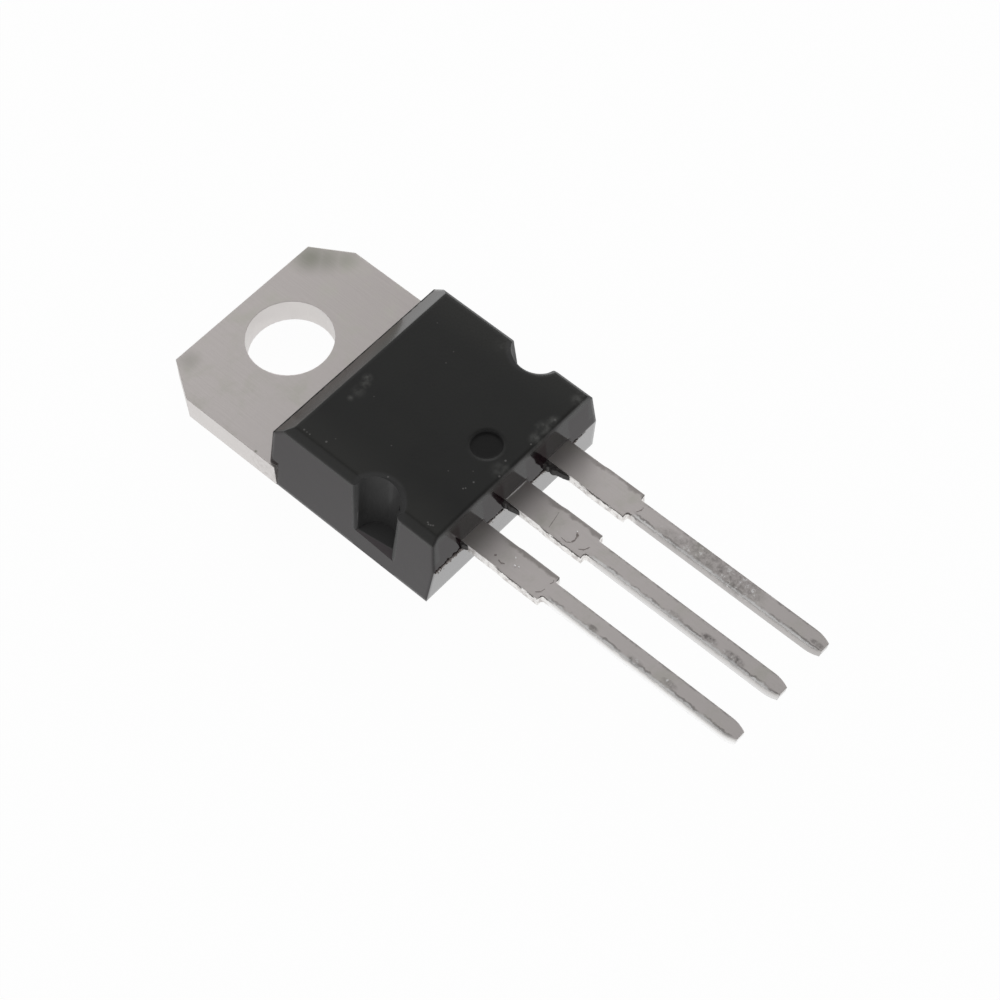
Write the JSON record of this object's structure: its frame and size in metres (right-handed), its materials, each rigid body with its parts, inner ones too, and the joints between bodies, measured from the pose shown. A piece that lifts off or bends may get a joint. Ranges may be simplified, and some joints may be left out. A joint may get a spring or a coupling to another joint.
{
  "type": "darlington transistor",
  "caption": "Darlington power transistor: black moulded body on a tinned copper tab with a mounting hole, and flat stepped leads in a row.",
  "frame": {"origin": "centre of the mounting hole at the tab's back face", "axes": "+Z out of the marked face, +Y to the tab's free end, leads along -Y, +X to the emitter side"},
  "size_m": [0.01, 0.0292, 0.0044],
  "materials": {
    "moulding_compound": "black epoxy, matte face, glossy sides",
    "tinned_copper": "satin tin plate over copper strip",
    "silicon": "polished silicon chip",
    "solder": "dull lead-tin solder",
    "bond_wire": "bright aluminium wire"
  },
  "bodies": {
    "root": {"epoxy_body": "moulding_compound", "heatsink_tab_with_collector_lead": "tinned_copper", "base_lead": "tinned_copper", "emitter_lead": "tinned_copper", "darlington_die": "silicon", "die_attach_solder": "solder", "base_bond_wire": "bond_wire", "emitter_bond_wire": "bond_wire"}
  },
  "joints": []
}
